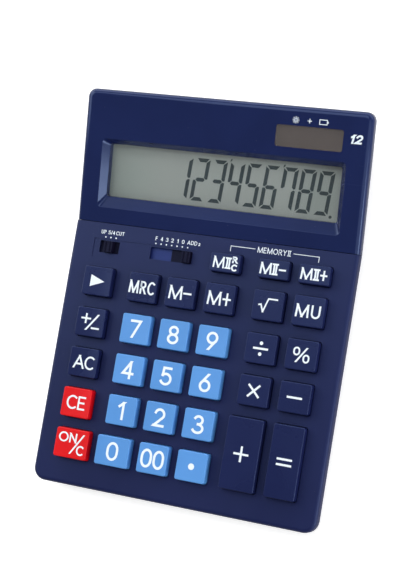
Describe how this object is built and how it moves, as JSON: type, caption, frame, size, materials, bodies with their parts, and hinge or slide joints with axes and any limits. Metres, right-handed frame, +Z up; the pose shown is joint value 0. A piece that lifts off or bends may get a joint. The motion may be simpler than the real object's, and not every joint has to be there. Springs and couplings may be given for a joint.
{
  "type": "desktop calculator",
  "caption": "Flat desk calculator with a sloping keyboard, a sunk liquid-crystal display in a steeper glossy head, a small solar cell and two slide switches.",
  "frame": {"origin": "on the table, under the middle of the calculator's bounding box", "axes": "+X to the user's right, +Y from the front edge to the display end, +Z up"},
  "size_m": [0.1536, 0.2051, 0.0347],
  "materials": {
    "case_satin": "satin navy moulding",
    "case_gloss": "polished navy moulding",
    "case_lower": "fine-grained dark navy moulding",
    "key_dark": "satin dark navy",
    "key_blue": "satin light blue",
    "key_red": "satin red",
    "window": "clear acrylic sheet",
    "display_glass": "grey-green liquid-crystal panel",
    "inner_moulding": "plain grey moulding",
    "elastomer": "grey silicone strip",
    "circuit_board": "tan phenolic board",
    "resin": "black potting resin",
    "solar_cover": "clear bar over the cell",
    "solar_glass": "brown amorphous cell",
    "wire": "red insulated wire",
    "ribbon": "pale flat cable",
    "dome_rubber": "translucent grey silicone",
    "switch_knob": "ribbed brown-grey",
    "switch_guide": "plain navy",
    "contact_metal": "bright spring brass",
    "cell_steel": "brushed nickel-plated can",
    "screw_steel": "zinc-plated steel",
    "foot_rubber": "soft black rubber"
  },
  "bodies": {
    "housing": {"bottom_case": "case_lower", "keyboard_case": "case_satin", "display_cover": "case_gloss", "display_window": "window", "display_panel": "display_glass", "display_holder": "inner_moulding", "display_connector": "elastomer", "display_board": "circuit_board", "processor_chip": "resin", "solar_window": "solar_cover", "solar_cell": "solar_glass", "solar_leads": "wire", "ribbon_cable": "ribbon", "main_board": "circuit_board", "rubber_dome_sheet": "dome_rubber", "rounding_guide": "switch_guide", "decimal_guide": "switch_guide", "coin_cell": "cell_steel", "battery_contacts": "contact_metal", "battery_leads": "wire", "case_screws": "screw_steel", "board_screws": "screw_steel", "display_screws": "screw_steel", "rubber_feet": "foot_rubber"},
    "rounding_switch": {"rounding_slider": "switch_knob", "rounding_wiper": "contact_metal"},
    "decimal_switch": {"decimal_slider": "switch_knob", "decimal_wiper": "contact_metal"},
    "battery_door": {"battery_cover": "case_lower"},
    "button_on_clear": {"key_on_clear": "key_red"},
    "button_zero": {"key_zero": "key_blue"},
    "button_double_zero": {"key_double_zero": "key_blue"},
    "button_point": {"key_point": "key_blue"},
    "button_clear_entry": {"key_clear_entry": "key_red"},
    "button_one": {"key_one": "key_blue"},
    "button_two": {"key_two": "key_blue"},
    "button_three": {"key_three": "key_blue"},
    "button_plus": {"key_plus": "key_dark"},
    "button_equals": {"key_equals": "key_dark"},
    "button_all_clear": {"key_all_clear": "key_dark"},
    "button_four": {"key_four": "key_blue"},
    "button_five": {"key_five": "key_blue"},
    "button_six": {"key_six": "key_blue"},
    "button_times": {"key_times": "key_dark"},
    "button_minus": {"key_minus": "key_dark"},
    "button_sign": {"key_sign": "key_dark"},
    "button_seven": {"key_seven": "key_blue"},
    "button_eight": {"key_eight": "key_blue"},
    "button_nine": {"key_nine": "key_blue"},
    "button_divide": {"key_divide": "key_dark"},
    "button_percent": {"key_percent": "key_dark"},
    "button_step_back": {"key_step_back": "key_dark"},
    "button_memory_recall": {"key_memory_recall": "key_dark"},
    "button_memory_minus": {"key_memory_minus": "key_dark"},
    "button_memory_plus": {"key_memory_plus": "key_dark"},
    "button_square_root": {"key_square_root": "key_dark"},
    "button_mark_up": {"key_mark_up": "key_dark"},
    "button_second_memory_recall": {"key_second_memory_recall": "key_dark"},
    "button_second_memory_minus": {"key_second_memory_minus": "key_dark"},
    "button_second_memory_plus": {"key_second_memory_plus": "key_dark"}
  },
  "joints": [
    {"name": "rounding_slide", "type": "slide", "parent": "housing", "child": "rounding_switch", "axis": [1, 0, 0], "range_m": [-0.00295, 0.00295]},
    {"name": "decimal_slide", "type": "slide", "parent": "housing", "child": "decimal_switch", "axis": [1, 0, 0], "range_m": [-0.0177, 0]},
    {"name": "battery_door_hinge", "type": "hinge", "parent": "housing", "child": "battery_door", "pos_m": [-0.038, 0.0695, 0.0012], "axis": [-1, 0, 0], "range_deg": [0, 85]},
    {"name": "press_on_clear", "type": "slide", "parent": "housing", "child": "button_on_clear", "axis": [0, 0.0436, -0.999], "range_m": [0, 0.0018], "stiffness_N_per_m": 300, "springref_m": -0.0008, "deforming": ["rubber_dome_sheet"]},
    {"name": "press_zero", "type": "slide", "parent": "housing", "child": "button_zero", "axis": [0, 0.0436, -0.999], "range_m": [0, 0.0018], "stiffness_N_per_m": 300, "springref_m": -0.0008, "deforming": ["rubber_dome_sheet"]},
    {"name": "press_double_zero", "type": "slide", "parent": "housing", "child": "button_double_zero", "axis": [0, 0.0436, -0.999], "range_m": [0, 0.0018], "stiffness_N_per_m": 300, "springref_m": -0.0008, "deforming": ["rubber_dome_sheet"]},
    {"name": "press_point", "type": "slide", "parent": "housing", "child": "button_point", "axis": [0, 0.0436, -0.999], "range_m": [0, 0.0018], "stiffness_N_per_m": 300, "springref_m": -0.0008, "deforming": ["rubber_dome_sheet"]},
    {"name": "press_clear_entry", "type": "slide", "parent": "housing", "child": "button_clear_entry", "axis": [0, 0.0436, -0.999], "range_m": [0, 0.0018], "stiffness_N_per_m": 300, "springref_m": -0.0008, "deforming": ["rubber_dome_sheet"]},
    {"name": "press_one", "type": "slide", "parent": "housing", "child": "button_one", "axis": [0, 0.0436, -0.999], "range_m": [0, 0.0018], "stiffness_N_per_m": 300, "springref_m": -0.0008, "deforming": ["rubber_dome_sheet"]},
    {"name": "press_two", "type": "slide", "parent": "housing", "child": "button_two", "axis": [0, 0.0436, -0.999], "range_m": [0, 0.0018], "stiffness_N_per_m": 300, "springref_m": -0.0008, "deforming": ["rubber_dome_sheet"]},
    {"name": "press_three", "type": "slide", "parent": "housing", "child": "button_three", "axis": [0, 0.0436, -0.999], "range_m": [0, 0.0018], "stiffness_N_per_m": 300, "springref_m": -0.0008, "deforming": ["rubber_dome_sheet"]},
    {"name": "press_plus", "type": "slide", "parent": "housing", "child": "button_plus", "axis": [0, 0.0436, -0.999], "range_m": [0, 0.0018], "stiffness_N_per_m": 300, "springref_m": -0.0008, "deforming": ["rubber_dome_sheet"]},
    {"name": "press_equals", "type": "slide", "parent": "housing", "child": "button_equals", "axis": [0, 0.0436, -0.999], "range_m": [0, 0.0018], "stiffness_N_per_m": 300, "springref_m": -0.0008, "deforming": ["rubber_dome_sheet"]},
    {"name": "press_all_clear", "type": "slide", "parent": "housing", "child": "button_all_clear", "axis": [0, 0.0436, -0.999], "range_m": [0, 0.0018], "stiffness_N_per_m": 300, "springref_m": -0.0008, "deforming": ["rubber_dome_sheet"]},
    {"name": "press_four", "type": "slide", "parent": "housing", "child": "button_four", "axis": [0, 0.0436, -0.999], "range_m": [0, 0.0018], "stiffness_N_per_m": 300, "springref_m": -0.0008, "deforming": ["rubber_dome_sheet"]},
    {"name": "press_five", "type": "slide", "parent": "housing", "child": "button_five", "axis": [0, 0.0436, -0.999], "range_m": [0, 0.0018], "stiffness_N_per_m": 300, "springref_m": -0.0008, "deforming": ["rubber_dome_sheet"]},
    {"name": "press_six", "type": "slide", "parent": "housing", "child": "button_six", "axis": [0, 0.0436, -0.999], "range_m": [0, 0.0018], "stiffness_N_per_m": 300, "springref_m": -0.0008, "deforming": ["rubber_dome_sheet"]},
    {"name": "press_times", "type": "slide", "parent": "housing", "child": "button_times", "axis": [0, 0.0436, -0.999], "range_m": [0, 0.0018], "stiffness_N_per_m": 300, "springref_m": -0.0008, "deforming": ["rubber_dome_sheet"]},
    {"name": "press_minus", "type": "slide", "parent": "housing", "child": "button_minus", "axis": [0, 0.0436, -0.999], "range_m": [0, 0.0018], "stiffness_N_per_m": 300, "springref_m": -0.0008, "deforming": ["rubber_dome_sheet"]},
    {"name": "press_sign", "type": "slide", "parent": "housing", "child": "button_sign", "axis": [0, 0.0436, -0.999], "range_m": [0, 0.0018], "stiffness_N_per_m": 300, "springref_m": -0.0008, "deforming": ["rubber_dome_sheet"]},
    {"name": "press_seven", "type": "slide", "parent": "housing", "child": "button_seven", "axis": [0, 0.0436, -0.999], "range_m": [0, 0.0018], "stiffness_N_per_m": 300, "springref_m": -0.0008, "deforming": ["rubber_dome_sheet"]},
    {"name": "press_eight", "type": "slide", "parent": "housing", "child": "button_eight", "axis": [0, 0.0436, -0.999], "range_m": [0, 0.0018], "stiffness_N_per_m": 300, "springref_m": -0.0008, "deforming": ["rubber_dome_sheet"]},
    {"name": "press_nine", "type": "slide", "parent": "housing", "child": "button_nine", "axis": [0, 0.0436, -0.999], "range_m": [0, 0.0018], "stiffness_N_per_m": 300, "springref_m": -0.0008, "deforming": ["rubber_dome_sheet"]},
    {"name": "press_divide", "type": "slide", "parent": "housing", "child": "button_divide", "axis": [0, 0.0436, -0.999], "range_m": [0, 0.0018], "stiffness_N_per_m": 300, "springref_m": -0.0008, "deforming": ["rubber_dome_sheet"]},
    {"name": "press_percent", "type": "slide", "parent": "housing", "child": "button_percent", "axis": [0, 0.0436, -0.999], "range_m": [0, 0.0018], "stiffness_N_per_m": 300, "springref_m": -0.0008, "deforming": ["rubber_dome_sheet"]},
    {"name": "press_step_back", "type": "slide", "parent": "housing", "child": "button_step_back", "axis": [0, 0.0436, -0.999], "range_m": [0, 0.0018], "stiffness_N_per_m": 300, "springref_m": -0.0008, "deforming": ["rubber_dome_sheet"]},
    {"name": "press_memory_recall", "type": "slide", "parent": "housing", "child": "button_memory_recall", "axis": [0, 0.0436, -0.999], "range_m": [0, 0.0018], "stiffness_N_per_m": 300, "springref_m": -0.0008, "deforming": ["rubber_dome_sheet"]},
    {"name": "press_memory_minus", "type": "slide", "parent": "housing", "child": "button_memory_minus", "axis": [0, 0.0436, -0.999], "range_m": [0, 0.0018], "stiffness_N_per_m": 300, "springref_m": -0.0008, "deforming": ["rubber_dome_sheet"]},
    {"name": "press_memory_plus", "type": "slide", "parent": "housing", "child": "button_memory_plus", "axis": [0, 0.0436, -0.999], "range_m": [0, 0.0018], "stiffness_N_per_m": 300, "springref_m": -0.0008, "deforming": ["rubber_dome_sheet"]},
    {"name": "press_square_root", "type": "slide", "parent": "housing", "child": "button_square_root", "axis": [0, 0.0436, -0.999], "range_m": [0, 0.0018], "stiffness_N_per_m": 300, "springref_m": -0.0008, "deforming": ["rubber_dome_sheet"]},
    {"name": "press_mark_up", "type": "slide", "parent": "housing", "child": "button_mark_up", "axis": [0, 0.0436, -0.999], "range_m": [0, 0.0018], "stiffness_N_per_m": 300, "springref_m": -0.0008, "deforming": ["rubber_dome_sheet"]},
    {"name": "press_second_memory_recall", "type": "slide", "parent": "housing", "child": "button_second_memory_recall", "axis": [0, 0.0436, -0.999], "range_m": [0, 0.0018], "stiffness_N_per_m": 300, "springref_m": -0.0008, "deforming": ["rubber_dome_sheet"]},
    {"name": "press_second_memory_minus", "type": "slide", "parent": "housing", "child": "button_second_memory_minus", "axis": [0, 0.0436, -0.999], "range_m": [0, 0.0018], "stiffness_N_per_m": 300, "springref_m": -0.0008, "deforming": ["rubber_dome_sheet"]},
    {"name": "press_second_memory_plus", "type": "slide", "parent": "housing", "child": "button_second_memory_plus", "axis": [0, 0.0436, -0.999], "range_m": [0, 0.0018], "stiffness_N_per_m": 300, "springref_m": -0.0008, "deforming": ["rubber_dome_sheet"]}
  ]
}
